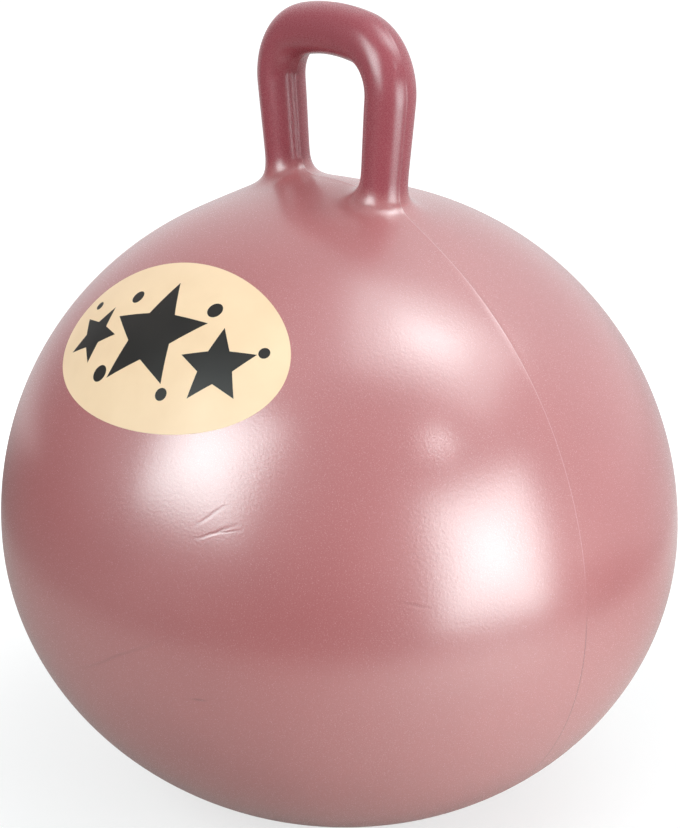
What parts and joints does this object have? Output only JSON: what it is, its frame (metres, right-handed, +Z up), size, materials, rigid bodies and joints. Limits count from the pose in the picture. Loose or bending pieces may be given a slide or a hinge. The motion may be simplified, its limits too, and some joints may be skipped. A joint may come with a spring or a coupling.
{
  "type": "hopper ball",
  "caption": "Inflated oval vinyl hopper ball with a moulded, hollow D-shaped handle on its crown and a barbed stopper valve in its back.",
  "frame": {"origin": "centre of the flat patch that the ball sits on", "axes": "+Z up through the crown, X along the handle's plane, -Y the printed front, +Y the valve side"},
  "size_m": [0.4508, 0.4498, 0.5285],
  "materials": {
    "ball_vinyl": "pearly rose soft vinyl, satin gloss with a fine grain",
    "handle_vinyl": "deeper rose soft vinyl, glossy, unstretched",
    "seat_vinyl": "rose soft vinyl, satin",
    "plug_plastic": "off-white soft plastic"
  },
  "bodies": {
    "ball": {"ball_shell": "ball_vinyl", "handle": "handle_vinyl", "valve_seat": "seat_vinyl"},
    "plug": {"valve_plug": "plug_plastic"}
  },
  "joints": [
    {"name": "plug_pull", "type": "slide", "parent": "ball", "child": "plug", "axis": [0, 0.8167, 0.577], "range_m": [0, 0.04]}
  ]
}
